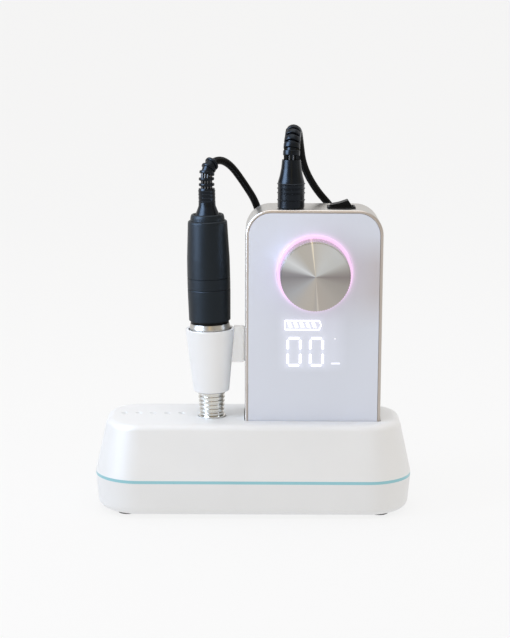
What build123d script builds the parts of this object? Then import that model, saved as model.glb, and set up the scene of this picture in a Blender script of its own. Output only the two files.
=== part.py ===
# Electric nail drill: a weighted desk stand, a slim battery control unit and a pen-shaped
# handpiece that stands nose down in a holder cup on the unit's side.
# Millimetres. The origin is on the table under the middle of the stand. +X is to the right
# of a person who faces the knob, +Y points to the back and +Z up.
from build123d import *
import os
from math import cos, pi, radians, sin, tan

os.makedirs("parts", exist_ok=True)

# ---------------------------------------------------------------- driving dimensions
# stand
stand_length = 176.4
stand_depth = 65.0
stand_corner = 25.5
stand_top_z = 52.0
stand_bottom_z = 1.5
stand_wall = 2.2
upper_draft = 12.5
lower_draft = 5.0
top_round = 4.5
bottom_round = 5.0
trim_z = 21.1
trim_height = 1.7
foot_radius = 5.5
foot_height = 2.3
foot_places = [(x, y) for x in (-70, 70) for y in (-17.5, 17.5)]
boss_places = [(-60, -20), (-60, 20), (38, -22), (38, 22)]
boss_radius = 3.2
tray_boss_radius = 4.0
stand_screw_radius = 1.45
stand_screw_head = 2.5
stand_screw_sink = 6.0
stand_screw_length = 25.0

# bit storage bores for 2.35 mm shanks
bit_count = 5
bit_pitch = 8.0
bit_first_x = -72.5
bit_y = 1.0
bit_bore_radius = 1.25
bit_bore_depth = 21.0
bit_sleeve_radius = 3.4

# control unit
unit_width = 75.0
unit_height = 150.0
unit_depth = 32.0
unit_x = 32.7
unit_bottom_z = 19.5
unit_corner = 14.0
unit_wall = 1.6
unit_edge = 1.1
slot_gap = 0.4
liner_wall = 1.2
panel_thickness = 3.0
panel_gap = 0.2
cover_thickness = 2.0
board_y = -7.6
board_thickness = 1.6

# knob, display and switch
knob_x = 33.0
knob_z = 135.25
knob_radius = 19.0
knob_reach = 15.2
knob_gap = 1.2
knob_teeth = 84
light_radius = 20.6
shaft_radius = 3.0
display_window = (38.0, 33.0)
display_centre = (33.0, 96.5)
switch_x = 47.5
switch_y = -4.5
switch_bezel = (15.4, 10.5)
switch_pivot_z = 168.3
switch_swing = 30.0
switch_pin_radius = 0.9

# handpiece socket and plug
plug_x = 19.95
plug_y = -7.0
plug_radius = 7.35
contact_radius = 2.75
socket_radius = 5.2
socket_flange = 5.8
running_gap = 0.05

# handpiece, measured along its own axis from the tip of its nose
nose_x = -23.2
nose_y = -4.0
nose_z = 51.2
handpiece_lean = 1.3
shank_radius = 1.19
spindle_radius = 2.5
chuck_radius = 9.1

# holder cup, measured along the handpiece's axis
cup_bottom = 15.3
cup_top = 50.8
cup_bottom_radius = 9.93
cup_top_radius = 13.6
cup_wall = 1.6

# cord
cord_radius = 2.15
coil_x = 20.0
coil_y = 67.0
coil_turns = 5.5
coil_layers = 2
coil_pitch = 4.4
coil_outer_turn = 28.0
tie_thickness = 0.65

# ---------------------------------------------------------------- derived values
upper_z = trim_z + trim_height / 2
lower_z = trim_z - trim_height / 2
unit_top_z = unit_bottom_z + unit_height
unit_z = unit_bottom_z + unit_height / 2
unit_left_x = unit_x - unit_width / 2
unit_right_x = unit_x + unit_width / 2
front_y = -unit_depth / 2
back_y = unit_depth / 2
panel_back_y = front_y + panel_thickness
inner_width = unit_width - 2 * unit_wall
inner_height = unit_height - 2 * unit_wall
inner_corner = unit_corner - unit_wall
cord_diameter = 2 * cord_radius
coil_low_z = tie_thickness + cord_radius
coil_inner_turn = coil_outer_turn - coil_pitch * coil_turns / coil_layers
coil_radius = (coil_inner_turn + coil_outer_turn) / 2
bit_places = [(bit_first_x + i * bit_pitch, bit_y) for i in range(bit_count)]


def front_plane(y):
    """A plane across the object at y: its own x and y are the object's x and z."""
    return Plane.XZ.offset(-y)


lean = radians(handpiece_lean)
handpiece_axis = Axis((nose_x, nose_y, nose_z), (-sin(lean), 0, cos(lean)))
handpiece_profile = Plane((nose_x, nose_y, nose_z), (cos(lean), 0, sin(lean)), (0, -1, 0))
handpiece_base = Plane((nose_x, nose_y, nose_z), (cos(lean), 0, sin(lean)), handpiece_axis.direction)


def along_handpiece(height):
    """The point of the handpiece's axis at a height above the tip of its nose."""
    return handpiece_axis.position + handpiece_axis.direction * height


# ================================================================ stand
with BuildPart() as stand_upper_shell:
    with BuildSketch(Plane.XY.offset(upper_z)):
        RectangleRounded(stand_length, stand_depth, stand_corner)
    extrude(amount=stand_top_z - upper_z, taper=upper_draft)
    fillet(stand_upper_shell.faces().sort_by(Axis.Z)[-1].edges(), top_round)
    with BuildSketch(Plane.XY.offset(upper_z)):
        RectangleRounded(
            stand_length - 2 * stand_wall, stand_depth - 2 * stand_wall, stand_corner - stand_wall
        )
    extrude(amount=stand_top_z - stand_wall - upper_z, taper=upper_draft, mode=Mode.SUBTRACT)
    # screw bosses hanging from the top
    with BuildSketch(Plane.XY.offset(upper_z)):
        with Locations(*boss_places):
            Circle(boss_radius)
    extrude(amount=stand_top_z - stand_wall + 0.1 - upper_z)
    with Locations(*[(x, y, upper_z) for x, y in boss_places]):
        Cylinder(
            stand_screw_radius + running_gap,
            14,
            align=(Align.CENTER, Align.CENTER, Align.MIN),
            mode=Mode.SUBTRACT,
        )
    # seats for the bit sleeves, which end flush with the top
    with Locations(*[(x, y, stand_top_z) for x, y in bit_places]):
        Hole(bit_sleeve_radius, depth=2 * stand_wall)
    # seat for the handpiece's nose, and the slot for the unit
    with Locations((nose_x, nose_y, stand_top_z)):
        Hole(8.0, depth=1.0)
    with BuildSketch(Plane.XY.offset(stand_top_z)):
        with Locations((unit_x, 0)):
            RectangleRounded(unit_width + 2 * slot_gap, unit_depth + 2 * slot_gap, 1.8)
    extrude(amount=-stand_wall - 0.2, mode=Mode.SUBTRACT)
stand_upper_shell.part.label = "stand_upper_shell"

bit_sleeves = []
for number, (x, y) in enumerate(bit_places, start=1):
    with BuildPart() as bit_sleeve:
        with BuildSketch(Plane.XY.offset(stand_top_z)):
            with Locations((x, y)):
                Circle(bit_sleeve_radius)
        extrude(amount=-bit_bore_depth - 1.5)
        with Locations((x, y, stand_top_z)):
            CounterSinkHole(bit_bore_radius, bit_bore_radius + 0.7, depth=bit_bore_depth)
    bit_sleeve.part.label = f"bit_sleeve_{number}"
    bit_sleeves.append(bit_sleeve)

with BuildPart() as stand_trim_ring:
    with BuildSketch(Plane.XY.offset(lower_z)):
        RectangleRounded(stand_length, stand_depth, stand_corner)
        RectangleRounded(
            stand_length - 2 * stand_wall,
            stand_depth - 2 * stand_wall,
            stand_corner - stand_wall,
            mode=Mode.SUBTRACT,
        )
    extrude(amount=trim_height)
stand_trim_ring.part.label = "stand_trim_ring"

tray_floor_z = stand_bottom_z + 2.0
with BuildPart() as stand_base_tray:
    with BuildSketch(Plane((0, 0, lower_z), (1, 0, 0), (0, 0, -1))):
        RectangleRounded(stand_length, stand_depth, stand_corner)
    extrude(amount=lower_z - stand_bottom_z, taper=lower_draft)
    fillet(stand_base_tray.faces().sort_by(Axis.Z)[0].edges(), bottom_round)
    with BuildSketch(Plane((0, 0, lower_z), (1, 0, 0), (0, 0, -1))):
        RectangleRounded(
            stand_length - 2 * stand_wall, stand_depth - 2 * stand_wall, stand_corner - stand_wall
        )
    extrude(amount=lower_z - tray_floor_z, taper=lower_draft, mode=Mode.SUBTRACT)
    with BuildSketch(Plane.XY.offset(tray_floor_z - 0.1)):
        with Locations(*boss_places):
            Circle(tray_boss_radius)
    extrude(amount=upper_z - 0.05 - tray_floor_z + 0.1)
    with Locations(*[Location((x, y, stand_bottom_z), (180, 0, 0)) for x, y in boss_places]):
        CounterBoreHole(stand_screw_radius + 0.2, stand_screw_head + 0.2, stand_screw_sink)
    with Locations(*[Location((x, y, stand_bottom_z), (180, 0, 0)) for x, y in foot_places]):
        Hole(foot_radius + 0.05, depth=foot_height - stand_bottom_z)
stand_base_tray.part.label = "stand_base_tray"

with BuildPart() as stand_ballast_plate:
    with BuildSketch(Plane.XY.offset(tray_floor_z)):
        RectangleRounded(136, 30, 4)
        with GridLocations(116, 0, 2, 1):
            Circle(2.2, mode=Mode.SUBTRACT)
    extrude(amount=4.0)
stand_ballast_plate.part.label = "stand_ballast_plate"

with BuildPart() as stand_feet:
    with BuildSketch(Plane.XY):
        with Locations(*foot_places):
            Circle(foot_radius)
    extrude(amount=foot_height)
    fillet(stand_feet.edges().group_by(Axis.Z)[0], 0.5)
stand_feet.part.label = "stand_feet"

screw_head_z = stand_bottom_z + stand_screw_sink
with BuildPart() as stand_screws:
    with BuildSketch(Plane.XY.offset(screw_head_z - 1.9)):
        with Locations(*boss_places):
            Circle(stand_screw_head)
    extrude(amount=1.9)
    with BuildSketch(Plane.XY.offset(screw_head_z)):
        with Locations(*boss_places):
            Circle(stand_screw_radius)
    extrude(amount=stand_screw_length)
    with BuildSketch(Plane.XY.offset(screw_head_z - 1.9)):
        with Locations(*boss_places):
            Rectangle(3.2, 0.7)
            Rectangle(0.7, 3.2)
    extrude(amount=1.1, mode=Mode.SUBTRACT)
stand_screws.part.label = "stand_screws"

liner_top_z = stand_top_z - stand_wall - 0.2
liner_inner = (unit_width + 2 * slot_gap, unit_depth + 2 * slot_gap)
with BuildPart() as unit_slot_liner:
    with BuildSketch(Plane.XY.offset(unit_bottom_z - liner_wall - 0.1)):
        with Locations((unit_x, 0)):
            RectangleRounded(liner_inner[0] + 2 * liner_wall, liner_inner[1] + 2 * liner_wall, 3)
    extrude(amount=liner_top_z - unit_bottom_z + liner_wall + 0.1)
    with BuildSketch(Plane.XY.offset(unit_bottom_z - 0.1)):
        with Locations((unit_x, 0)):
            RectangleRounded(liner_inner[0], liner_inner[1], 1.8)
    extrude(amount=liner_top_z - unit_bottom_z + 0.1, mode=Mode.SUBTRACT)
unit_slot_liner.part.label = "unit_slot_liner"

# ================================================================ control unit
jack_y = 2.0
jack_z = 74.0
jack_radius = 3.6
side_plane = Plane((unit_right_x, jack_y, jack_z), (0, 1, 0), (1, 0, 0))
cover_screw_places = [(unit_x + x, unit_z + z) for x in (-28, 28) for z in (-64, 64)]
switch_body = (13.6, 8.9)

with BuildPart() as unit_frame:
    with BuildSketch(front_plane(back_y)):
        with Locations((unit_x, unit_z)):
            RectangleRounded(unit_width, unit_height, unit_corner)
            RectangleRounded(inner_width, inner_height, inner_corner, mode=Mode.SUBTRACT)
    extrude(amount=unit_depth)
    fillet(unit_frame.faces().sort_by(Axis.Y)[0].outer_wire().edges(), unit_edge)
    fillet(unit_frame.faces().sort_by(Axis.Y)[-1].outer_wire().edges(), unit_edge)
    with Locations((plug_x, plug_y, unit_top_z)):
        Hole(socket_radius + 0.1, depth=2 * unit_wall)
    with Locations((switch_x, switch_y, unit_top_z)):
        Box(switch_body[0] + 0.2, switch_body[1] + 0.2, 4 * unit_wall, mode=Mode.SUBTRACT)
    with Locations(side_plane):
        Hole(jack_radius + 0.1, depth=2 * unit_wall)
unit_frame.part.label = "unit_frame"

with BuildPart() as front_panel:
    with BuildSketch(front_plane(panel_back_y)):
        with Locations((unit_x, unit_z)):
            RectangleRounded(
                inner_width - 2 * panel_gap, inner_height - 2 * panel_gap, inner_corner - panel_gap
            )
        with Locations((knob_x, knob_z)):
            Circle(light_radius + 0.1, mode=Mode.SUBTRACT)
    extrude(amount=panel_thickness)
front_panel.part.label = "front_panel"

with BuildPart() as rear_cover:
    with BuildSketch(front_plane(back_y - 0.3)):
        with Locations((unit_x, unit_z)):
            RectangleRounded(
                inner_width - 2 * panel_gap, inner_height - 2 * panel_gap, inner_corner - panel_gap
            )
    extrude(amount=cover_thickness)
    with BuildSketch(front_plane(back_y - 0.3)):
        with Locations(*cover_screw_places):
            Circle(1.3)
    extrude(amount=cover_thickness, mode=Mode.SUBTRACT)
    with BuildSketch(front_plane(back_y - 0.3)):
        with Locations(*cover_screw_places):
            Circle(2.3)
    extrude(amount=1.0, mode=Mode.SUBTRACT)
rear_cover.part.label = "rear_cover"

# four posts carry the board and take the rear cover's screws
post_front_y = board_y + board_thickness
post_back_y = back_y - 0.3 - cover_thickness
with BuildPart() as cover_posts:
    with BuildSketch(front_plane(post_back_y)):
        with Locations(*cover_screw_places):
            Circle(3.0)
            Circle(1.25, mode=Mode.SUBTRACT)
    extrude(amount=post_back_y - post_front_y)
cover_posts.part.label = "cover_posts"

with BuildPart() as rear_cover_screws:
    with BuildSketch(front_plane(back_y - 0.35)):
        with Locations(*cover_screw_places):
            Circle(2.2)
    extrude(amount=0.9)
    with BuildSketch(front_plane(back_y - 1.2)):
        with Locations(*cover_screw_places):
            Circle(1.2)
    extrude(amount=9.0)
    with BuildSketch(front_plane(back_y - 0.35)):
        with Locations(*cover_screw_places):
            Rectangle(2.6, 0.6)
            Rectangle(0.6, 2.6)
    extrude(amount=0.6, mode=Mode.SUBTRACT)
rear_cover_screws.part.label = "rear_cover_screws"

board_bottom_z = 25.0
board_top_z = 147.5
with BuildPart() as circuit_board:
    with BuildSketch(front_plane(board_y + board_thickness)):
        with Locations((unit_x, (board_bottom_z + board_top_z) / 2)):
            RectangleRounded(66, board_top_z - board_bottom_z, 6)
    extrude(amount=board_thickness)
circuit_board.part.label = "circuit_board"

cell_radius = 9.15
cell_length = 65.0
cell_y = post_front_y + cell_radius + 0.5
cell_places = [(unit_x - 11, cell_y), (unit_x + 11, cell_y)]
cell_bottom_z = 30.0
with BuildPart() as battery_cells:
    with BuildSketch(Plane.XY.offset(cell_bottom_z)):
        with Locations(*cell_places):
            Circle(cell_radius)
    extrude(amount=cell_length)
    with BuildSketch(Plane.XY.offset(cell_bottom_z + cell_length)):
        with Locations(*cell_places):
            Circle(2.8)
    extrude(amount=1.2)
battery_cells.part.label = "battery_cells"

with BuildPart() as battery_cradle:
    for bracket_z in (cell_bottom_z - 3.0, cell_bottom_z + cell_length + 1.3):
        with BuildSketch(Plane.XY.offset(bracket_z)):
            with Locations((unit_x, cell_y)):
                RectangleRounded(46, 18.6, 3)
        extrude(amount=3.0)
    with BuildSketch(Plane.XY.offset(cell_bottom_z)):
        with Locations((unit_x, cell_y)):
            Rectangle(2.4, 12)
    extrude(amount=cell_length + 1.4)
battery_cradle.part.label = "battery_cradle"

with BuildPart() as display_module:
    with BuildSketch(front_plane(board_y)):
        with Locations(display_centre):
            RectangleRounded(display_window[0], display_window[1], 2)
    extrude(amount=board_y - panel_back_y)
display_module.part.label = "display_module"

encoder_bush_y = front_y - 4.0
with BuildPart() as speed_encoder:
    with BuildSketch(front_plane(board_y)):
        with Locations((knob_x, knob_z)):
            RectangleRounded(12.4, 12.4, 1)
    extrude(amount=board_y - panel_back_y)
    with BuildSketch(front_plane(panel_back_y)):
        with Locations((knob_x, knob_z)):
            Circle(3.6)
    extrude(amount=panel_back_y - encoder_bush_y)
    with BuildSketch(front_plane(encoder_bush_y)):
        with Locations((knob_x, knob_z)):
            Circle(shaft_radius + running_gap)
    extrude(amount=encoder_bush_y - board_y + 1.0, mode=Mode.SUBTRACT)
speed_encoder.part.label = "speed_encoder"

with BuildPart() as knob_light_guide:
    with BuildSketch(front_plane(panel_back_y)):
        with Locations((knob_x, knob_z)):
            Circle(light_radius)
            Circle(3.75, mode=Mode.SUBTRACT)
    extrude(amount=panel_thickness + 0.5)
    fillet(knob_light_guide.faces().sort_by(Axis.Y)[0].outer_wire().edges(), 0.4)
knob_light_guide.part.label = "knob_light_guide"

with BuildPart() as encoder_shaft:
    with BuildSketch(front_plane(board_y - 1.2)):
        with Locations((knob_x, knob_z)):
            Circle(shaft_radius)
    extrude(amount=board_y - 1.2 - (front_y - knob_reach + 2.4))
encoder_shaft.part.label = "encoder_shaft"

knob_face_y = front_y - knob_reach
knob_back_y = front_y - knob_gap
knob_skin = 1.2
with BuildPart() as knob_cap:
    with BuildSketch(front_plane(knob_back_y)):
        with Locations((knob_x, knob_z)):
            Circle(knob_radius)
    extrude(amount=knob_back_y - knob_face_y)
    with BuildSketch(front_plane(knob_back_y)):
        with Locations((knob_x, knob_z)):
            with PolarLocations(knob_radius + 0.1, knob_teeth):
                Circle(0.42)
    extrude(amount=knob_back_y - knob_face_y, mode=Mode.SUBTRACT)
    # the turned face stands on the toothed rim as a plain disc with a soft edge
    with BuildSketch(front_plane(knob_face_y + 1.6)):
        with Locations((knob_x, knob_z)):
            Circle(knob_radius + 0.3)
            Circle(knob_radius - 0.75, mode=Mode.SUBTRACT)
    extrude(amount=1.6, mode=Mode.SUBTRACT)
    with BuildSketch(front_plane(knob_back_y)):
        with Locations((knob_x, knob_z)):
            Circle(knob_radius - 0.5 - knob_skin)
    extrude(amount=knob_back_y - knob_face_y - knob_skin, mode=Mode.SUBTRACT)
knob_cap.part.label = "knob_cap"

with BuildPart() as knob_core:
    with BuildSketch(front_plane(knob_back_y)):
        with Locations((knob_x, knob_z)):
            Circle(knob_radius - 0.5 - knob_skin)
            Circle(knob_radius - 4.2, mode=Mode.SUBTRACT)
    extrude(amount=knob_back_y - knob_face_y - knob_skin)
    with BuildSketch(front_plane(knob_face_y + knob_skin + 1.2)):
        with Locations((knob_x, knob_z)):
            Circle(knob_radius - 4.0)
    extrude(amount=1.2)
    with BuildSketch(front_plane(encoder_bush_y - 0.4)):
        with Locations((knob_x, knob_z)):
            Circle(6.0)
    extrude(amount=encoder_bush_y - 0.4 - knob_face_y - knob_skin)
    with BuildSketch(front_plane(encoder_bush_y - 0.4)):
        with Locations((knob_x, knob_z)):
            Circle(shaft_radius)
    extrude(amount=encoder_bush_y - 0.4 - (knob_face_y + 2.4), mode=Mode.SUBTRACT)
knob_core.part.label = "knob_core"

# ---------------------------------------------------------------- power switch
bezel_top_z = unit_top_z + 1.0
rocker_opening = (13.2, 8.4)
rocker_width = 8.0
with BuildPart() as switch_housing:
    with BuildSketch(Plane.XY.offset(unit_top_z)):
        with Locations((switch_x, switch_y)):
            RectangleRounded(switch_bezel[0], switch_bezel[1], 1.2)
    extrude(amount=bezel_top_z - unit_top_z)
    fillet(switch_housing.faces().sort_by(Axis.Z)[-1].edges(), 0.4)
    with BuildSketch(Plane.XY.offset(unit_top_z - 16)):
        with Locations((switch_x, switch_y)):
            RectangleRounded(switch_body[0] + 0.1, switch_body[1], 0.8)
    extrude(amount=16.1)
    with BuildSketch(Plane.XY.offset(unit_top_z - 9)):
        with Locations((switch_x, switch_y)):
            RectangleRounded(rocker_opening[0], rocker_opening[1], 0.5)
    extrude(amount=12, mode=Mode.SUBTRACT)
switch_housing.part.label = "switch_housing"

pivot_profile = Plane((switch_x, switch_y, switch_pivot_z), (1, 0, 0), (0, -1, 0))
rocker_tip = (4.9, 4.6)
rocked = radians(switch_swing / 2)
rocker_profile = Plane(pivot_profile.origin, (cos(rocked), 0, sin(rocked)), (0, -1, 0))
with BuildPart() as rocker_button:
    with BuildSketch(rocker_profile):
        with BuildLine():
            Polyline(
                (-6.3, 0.3),
                (-rocker_tip[0], rocker_tip[1]),
                (0, rocker_tip[1] - 0.35),
                rocker_tip,
                (6.3, 0.3),
                (4.2, -2.2),
                (-4.2, -2.2),
                close=True,
            )
        make_face()
    extrude(amount=rocker_width / 2, both=True)
    fillet(rocker_button.edges().filter_by(Axis.Y).group_by(Axis.Z)[-1], 0.6)
    with BuildSketch(pivot_profile):
        Circle(switch_pin_radius + running_gap)
    extrude(amount=rocker_width, both=True, mode=Mode.SUBTRACT)
rocker_button.part.label = "rocker_button"

with BuildPart() as rocker_pin:
    with BuildSketch(pivot_profile):
        Circle(switch_pin_radius)
    extrude(amount=rocker_opening[1] / 2, both=True)
rocker_pin.part.label = "rocker_pin"

# ---------------------------------------------------------------- sockets
socket_profile = Plane((plug_x, plug_y, 0), (1, 0, 0), (0, -1, 0))
plug_axis = Axis((plug_x, plug_y, 0), (0, 0, 1))
socket_bore_depth = 12.0
with BuildPart() as handpiece_socket:
    with BuildSketch(socket_profile):
        with BuildLine():
            Polyline(
                (0, unit_top_z - 19),
                (5.0, unit_top_z - 19),
                (5.0, unit_top_z - 6),
                (socket_flange, unit_top_z - 6),
                (socket_flange, unit_top_z - unit_wall - 0.1),
                (socket_radius, unit_top_z - unit_wall - 0.1),
                (socket_radius, unit_top_z),
                (contact_radius + 0.1, unit_top_z),
                (contact_radius + 0.1, unit_top_z - socket_bore_depth),
                (0, unit_top_z - socket_bore_depth),
                close=True,
            )
        make_face()
    revolve(axis=plug_axis)
handpiece_socket.part.label = "handpiece_socket"

with BuildPart() as charging_jack:
    with Locations(side_plane):
        Cylinder(jack_radius, unit_wall, align=(Align.CENTER, Align.CENTER, Align.MAX))
        Cylinder(jack_radius, 12, align=(Align.CENTER, Align.CENTER, Align.MAX))
        Hole(2.8, depth=10)
        Cylinder(0.95, 11, align=(Align.CENTER, Align.CENTER, Align.MAX))
    with BuildSketch(side_plane.offset(-unit_wall - 0.1)):
        RectangleRounded(9.0, 11.0, 1)
        Circle(2.8, mode=Mode.SUBTRACT)
    extrude(amount=-9.5)
charging_jack.part.label = "charging_jack"

# ---------------------------------------------------------------- holder on the unit's side
with BuildPart() as holder_cup:
    with BuildSketch(handpiece_profile):
        with BuildLine():
            Polyline(
                (cup_bottom_radius, cup_bottom),
                (cup_top_radius, cup_top),
                (cup_top_radius - cup_wall, cup_top),
                (cup_bottom_radius - cup_wall, cup_bottom),
                close=True,
            )
        make_face()
    revolve(axis=handpiece_axis)
    fillet(holder_cup.edges().group_by(handpiece_axis)[0].sort_by(SortBy.RADIUS)[-1], 1.0)
    fillet(holder_cup.edges().group_by(handpiece_axis)[-1], 0.5)
holder_cup.part.label = "holder_cup"

bracket_low_z = 82.6
bracket_high_z = 103.1
bracket_pad_x = unit_left_x - 0.8
bracket_reach = 11.0
bracket_thickness = 3.0
bracket_y = nose_y + 1.6
cup_slope = (cup_top_radius - cup_bottom_radius) / (cup_top - cup_bottom)
with BuildPart() as holder_bracket:
    with BuildSketch(Plane.XY.offset(bracket_low_z)):
        with Locations((bracket_pad_x - bracket_reach / 2, bracket_y)):
            Rectangle(bracket_reach, bracket_thickness)
    extrude(amount=bracket_high_z - bracket_low_z)
    with BuildSketch(handpiece_profile):
        with BuildLine():
            Polyline(
                (0, cup_bottom),
                (cup_bottom_radius + 0.05, cup_bottom),
                (cup_bottom_radius + 0.05 + cup_slope * 40, cup_bottom + 40),
                (0, cup_bottom + 40),
                close=True,
            )
        make_face()
    revolve(axis=handpiece_axis, mode=Mode.SUBTRACT)
holder_bracket.part.label = "holder_bracket"

with BuildPart() as holder_adhesive_pad:
    with BuildSketch(Plane.XY.offset(bracket_low_z + 0.6)):
        with Locations((bracket_pad_x + 0.4, bracket_y)):
            Rectangle(0.8, bracket_thickness - 0.4)
    extrude(amount=bracket_high_z - bracket_low_z - 1.2)
holder_adhesive_pad.part.label = "holder_adhesive_pad"

# ================================================================ handpiece
nose_length = 49.2
rib_count = 6
rib_pitch = 2.3
rib_depth = 0.75
bearing_radius = 5.5
bearing_width = 4.0
bearing_heights = [8.0, 40.0, 104.0]

nose_outline = [(3.0, 0), (7.1, 0), (7.6, 0.4), (7.6, 1.4), (6.4, 1.75)]
for rib in range(rib_count):
    rib_low = 1.9 + rib * rib_pitch
    rib_radius = 6.85 + rib * 0.13
    nose_outline += [
        (rib_radius - rib_depth, rib_low),
        (rib_radius, rib_low + 0.35),
        (rib_radius, rib_low + 1.25),
        (rib_radius - rib_depth, rib_low + 1.6),
    ]
nose_outline += [
    (7.5, 16.2),
    (7.6, 18.0),
    (10.3, nose_length),
    (chuck_radius + running_gap, nose_length),
    (chuck_radius + running_gap, 46.9),
    (6.0, 46.9),
    (6.0, 44.1),
    (bearing_radius + running_gap, 44.1),
    (bearing_radius + running_gap, 7.9),
    (3.0, 7.9),
]
with BuildPart() as nose_cone:
    with BuildSketch(handpiece_profile):
        with BuildLine():
            Polyline(*nose_outline, close=True)
        make_face()
    revolve(axis=handpiece_axis)
nose_cone.part.label = "nose_cone"

ring_bore = chuck_radius + running_gap
with BuildPart() as front_collar:
    with BuildSketch(handpiece_profile):
        with BuildLine():
            Polyline(
                (ring_bore, 49.4),
                (10.5, 49.4),
                (11.2, 50.4),
                (11.3, 50.8),
                (11.3, 51.4),
                (10.8, 53.8),
                (ring_bore, 53.8),
                close=True,
            )
        make_face()
    revolve(axis=handpiece_axis)
front_collar.part.label = "front_collar"

with BuildPart() as neck_ring:
    with BuildSketch(handpiece_profile):
        with BuildLine():
            Polyline((ring_bore, 53.85), (10.55, 53.85), (10.55, 55.2), (ring_bore, 55.2), close=True)
        make_face()
    revolve(axis=handpiece_axis)
neck_ring.part.label = "neck_ring"

with BuildPart() as chuck_tube:
    with BuildSketch(handpiece_profile):
        with BuildLine():
            Polyline(
                (7.9, 46.95), (chuck_radius, 46.95), (chuck_radius, 75.9), (7.9, 75.9), close=True
            )
        make_face()
    revolve(axis=handpiece_axis)
chuck_tube.part.label = "chuck_tube"

with BuildPart() as twist_lock_sleeve:
    with BuildSketch(handpiece_profile):
        with BuildLine():
            Polyline(
                (ring_bore, 55.35),
                (11.1, 55.35),
                (11.5, 55.7),
                (11.85, 72.7),
                (11.65, 73.05),
                (ring_bore, 73.05),
                close=True,
            )
        make_face()
    revolve(axis=handpiece_axis)
twist_lock_sleeve.part.label = "twist_lock_sleeve"

with BuildPart() as housing_band:
    with BuildSketch(handpiece_profile):
        with BuildLine():
            Polyline(
                (ring_bore, 73.2),
                (11.65, 73.2),
                (11.85, 73.5),
                (11.85, 79.05),
                (11.65, 79.25),
                (ring_bore, 79.25),
                close=True,
            )
        make_face()
    revolve(axis=handpiece_axis)
housing_band.part.label = "housing_band"

with BuildPart() as motor_housing:
    with BuildSketch(handpiece_profile):
        with BuildLine():
            Polyline(
                (9.4, 79.35),
                (11.65, 79.35),
                (11.85, 79.6),
                (11.75, 90.0),
                (10.85, 109.6),
                (10.7, 110.5),
                (10.2, 110.95),
                (9.4, 111.0),
                close=True,
            )
        make_face()
    revolve(axis=handpiece_axis)
motor_housing.part.label = "motor_housing"

with BuildPart() as rear_cap:
    with BuildSketch(handpiece_profile):
        with BuildLine():
            Polyline(
                (7.6, 111.4),
                (8.4, 111.05),
                (9.45, 111.05),
                (9.35, 112.6),
                (8.95, 114.1),
                (8.5, 114.5),
                (8.0, 114.5),
                (7.6, 113.9),
                close=True,
            )
        make_face()
    revolve(axis=handpiece_axis)
rear_cap.part.label = "rear_cap"

with BuildPart() as motor_can:
    with BuildSketch(handpiece_profile):
        with BuildLine():
            Polyline(
                (8.6, 79.4),
                (9.3, 79.4),
                (9.3, 108.6),
                (bearing_radius + running_gap, 108.6),
                (bearing_radius + running_gap, 103.9),
                (8.6, 103.9),
                close=True,
            )
        make_face()
    revolve(axis=handpiece_axis)
motor_can.part.label = "motor_can"

with BuildPart() as motor_magnets:
    with BuildSketch(handpiece_base.offset(80)):
        Circle(8.55)
        Circle(6.8, mode=Mode.SUBTRACT)
        Rectangle(4.0, 20, mode=Mode.SUBTRACT)
    extrude(amount=22)
motor_magnets.part.label = "motor_magnets"

with BuildPart() as spindle_bearings:
    for bearing_height in bearing_heights:
        with BuildSketch(handpiece_base.offset(bearing_height)):
            Circle(bearing_radius)
            Circle(spindle_radius + running_gap, mode=Mode.SUBTRACT)
        extrude(amount=bearing_width)
spindle_bearings.part.label = "spindle_bearings"

collet_length = 18.0
collet_tip = 1.6
with BuildPart() as spindle:
    with BuildSketch(handpiece_base.offset(3.0)):
        Circle(spindle_radius)
    extrude(amount=105.4)
    with BuildSketch(handpiece_base.offset(3.0)):
        Circle(1.95)
    extrude(amount=collet_length, mode=Mode.SUBTRACT)
spindle.part.label = "spindle"

with BuildPart() as collet:
    with BuildSketch(handpiece_base.offset(3.0)):
        Circle(1.9)
    extrude(amount=collet_length - 0.2)
    with BuildSketch(handpiece_base.offset(collet_tip)):
        Circle(2.45)
    extrude(amount=3.0 - collet_tip - 0.05)
    with BuildSketch(handpiece_base.offset(3.0 - 0.1)):
        Circle(1.9)
    extrude(amount=0.2)
    with BuildSketch(handpiece_base.offset(collet_tip)):
        Circle(shank_radius)
    extrude(amount=collet_length, mode=Mode.SUBTRACT)
collet.part.label = "collet"

with BuildPart() as rotor_core:
    with BuildSketch(handpiece_base.offset(82)):
        Circle(6.3)
        with PolarLocations(5.4, 3):
            Circle(1.3, mode=Mode.SUBTRACT)
        Circle(spindle_radius, mode=Mode.SUBTRACT)
    extrude(amount=18)
rotor_core.part.label = "rotor_core"

with BuildPart() as commutator:
    with BuildSketch(handpiece_base.offset(100.4)):
        Circle(3.8)
        Circle(spindle_radius, mode=Mode.SUBTRACT)
    extrude(amount=3.0)
commutator.part.label = "commutator"

push_ring_height = 60.0
with BuildPart() as push_ring:
    with BuildSketch(handpiece_base.offset(push_ring_height)):
        Circle(7.8)
        Circle(spindle_radius + 0.3, mode=Mode.SUBTRACT)
    extrude(amount=4.0)
push_ring.part.label = "push_ring"

spring_radius = 7.0
spring_wire = 0.45
spring_height = push_ring_height - 47.0 - 2 * spring_wire - 0.1
with BuildLine() as spring_path:
    Helix(
        spring_height / 5,
        spring_height,
        spring_radius,
        center=along_handpiece(47.0 + spring_wire),
        direction=handpiece_axis.direction,
    )
with BuildPart() as collet_spring:
    with BuildSketch(Plane(spring_path.line @ 0, z_dir=spring_path.line % 0)):
        Circle(spring_wire)
    sweep(path=spring_path.line, is_frenet=True)
collet_spring.part.label = "collet_spring"

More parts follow.
